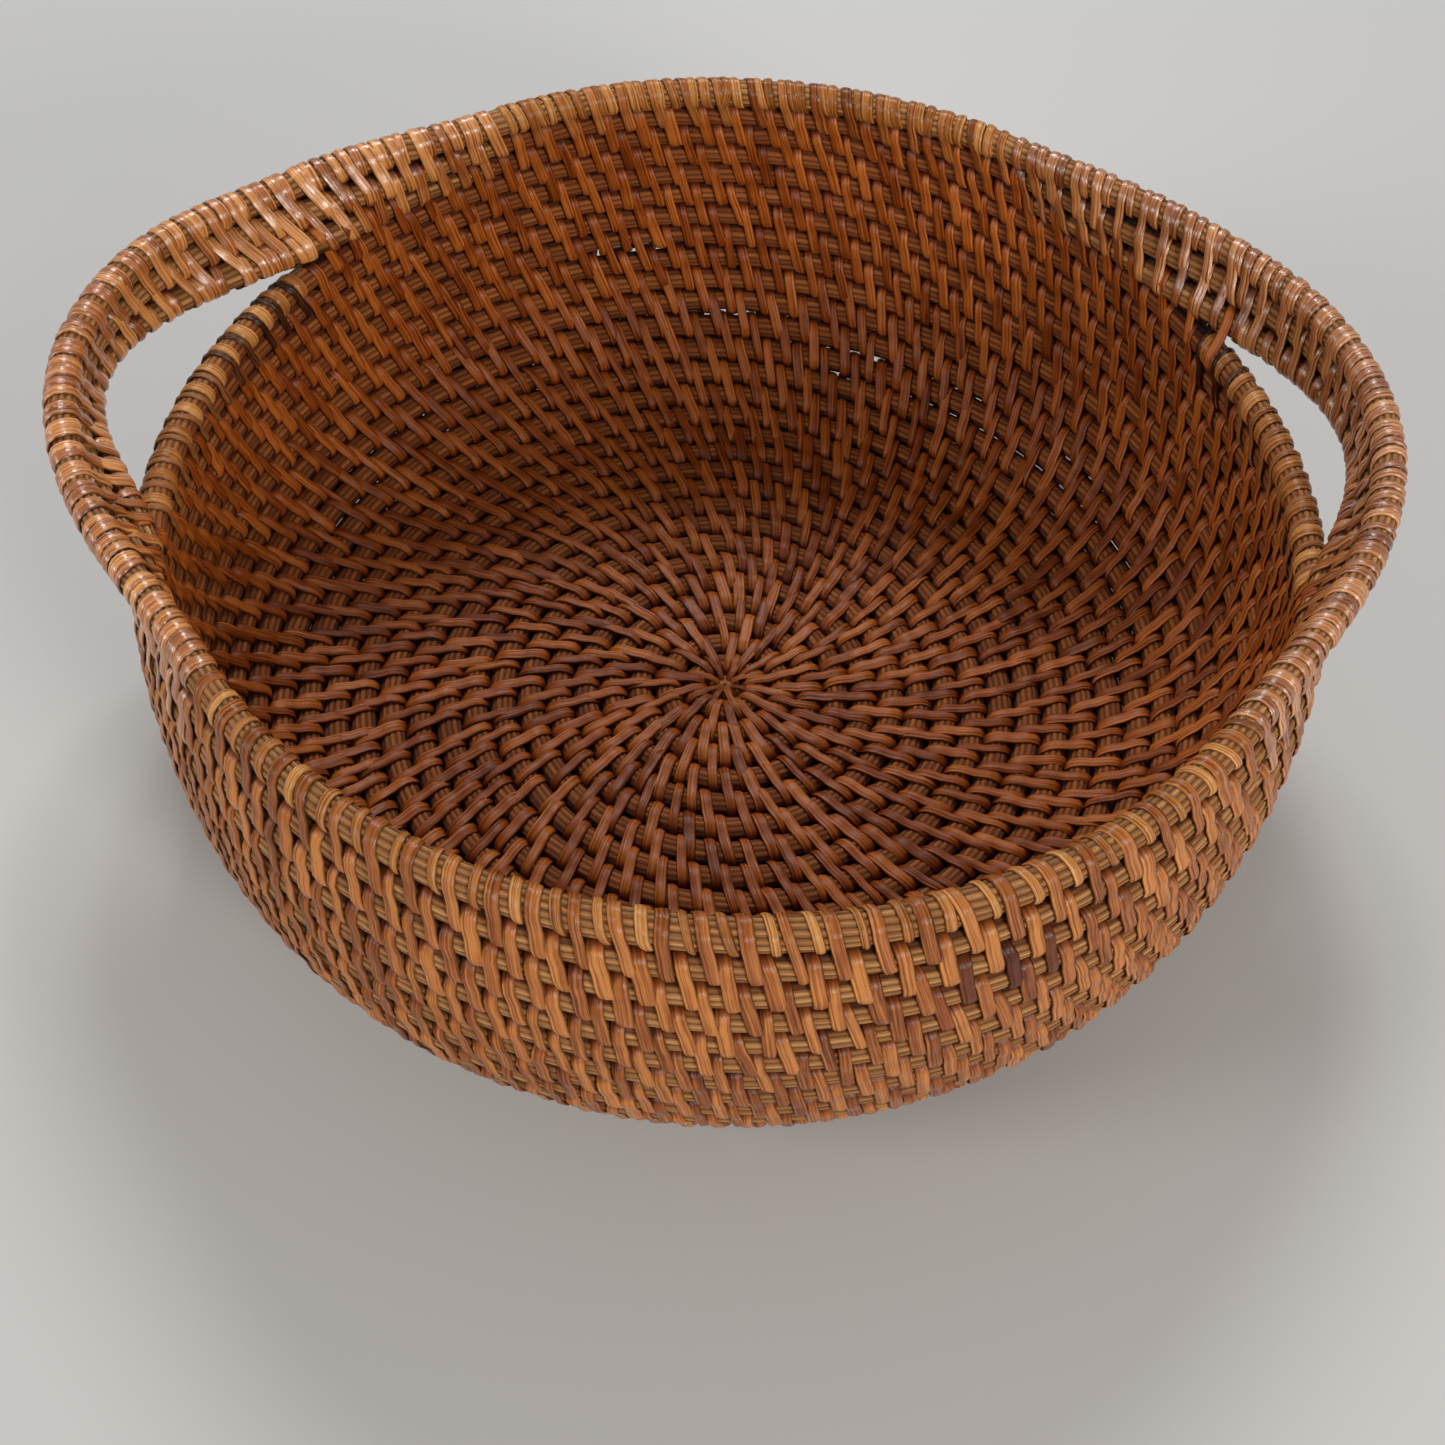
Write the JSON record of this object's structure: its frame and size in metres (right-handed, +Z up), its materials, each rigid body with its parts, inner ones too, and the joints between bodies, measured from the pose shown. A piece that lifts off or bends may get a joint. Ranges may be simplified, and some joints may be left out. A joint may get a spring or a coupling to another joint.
{
  "type": "woven fruit basket",
  "caption": "Round shallow basket of coiled, strip-bound rattan with a flat floor, a bellied wall and open side handles.",
  "frame": {"origin": "middle of the underside, on the axis of the coil, at the level the basket stands on", "axes": "+Z up along the coil's axis, +X towards the right handle, -Y towards the front"},
  "size_m": [0.3126, 0.281, 0.1048],
  "materials": {
    "rattan_strip": "split rattan strip, red-brown, satin skin",
    "rattan_core": "ribbed rattan core, straw tan, matte",
    "golden_strip": "split rattan strip, golden, satin skin",
    "dark_strip": "split rattan strip, dark brown, satin skin"
  },
  "bodies": {
    "root": {"start_knot": "rattan_strip", "floor_course_01": "rattan_strip", "floor_course_02": "rattan_strip", "floor_course_03": "rattan_strip", "floor_course_04": "rattan_strip", "floor_course_05": "rattan_strip", "floor_course_06": "rattan_strip", "floor_course_07": "rattan_strip", "floor_course_08": "rattan_strip", "floor_course_09": "rattan_strip", "floor_course_10": "rattan_strip", "floor_course_11": "rattan_strip", "floor_course_12": "rattan_strip", "corner_course_01": "rattan_strip", "corner_course_02": "rattan_strip", "corner_course_03": "rattan_strip", "corner_course_04": "rattan_strip", "corner_course_05": "rattan_strip", "corner_course_06": "rattan_strip", "corner_course_07": "rattan_strip", "corner_course_08": "rattan_strip", "wall_course_01": "rattan_strip", "wall_course_02": "rattan_strip", "wall_course_03": "rattan_strip", "wall_course_04": "rattan_strip", "wall_course_05": "rattan_strip", "edge_course": "rattan_strip", "rim_long_stitches": "rattan_strip", "upper_wall_stitches": "rattan_strip", "left_handle_binding": "rattan_strip", "right_handle_binding": "rattan_strip", "third_course_front": "rattan_core", "third_course_back": "rattan_core", "second_course_front": "rattan_core", "second_course_back": "rattan_core", "rim_course_front": "rattan_core", "rim_course_back": "rattan_core", "left_handle_top_coil": "rattan_core", "left_handle_middle_coil": "rattan_core", "left_handle_lower_coil": "rattan_core", "right_handle_top_coil": "rattan_core", "right_handle_middle_coil": "rattan_core", "right_handle_lower_coil": "rattan_core", "rim_short_stitches": "golden_strip", "left_edge_ties": "golden_strip", "right_edge_ties": "golden_strip", "left_edge_dark_ties": "dark_strip", "right_edge_dark_ties": "dark_strip"}
  },
  "joints": []
}
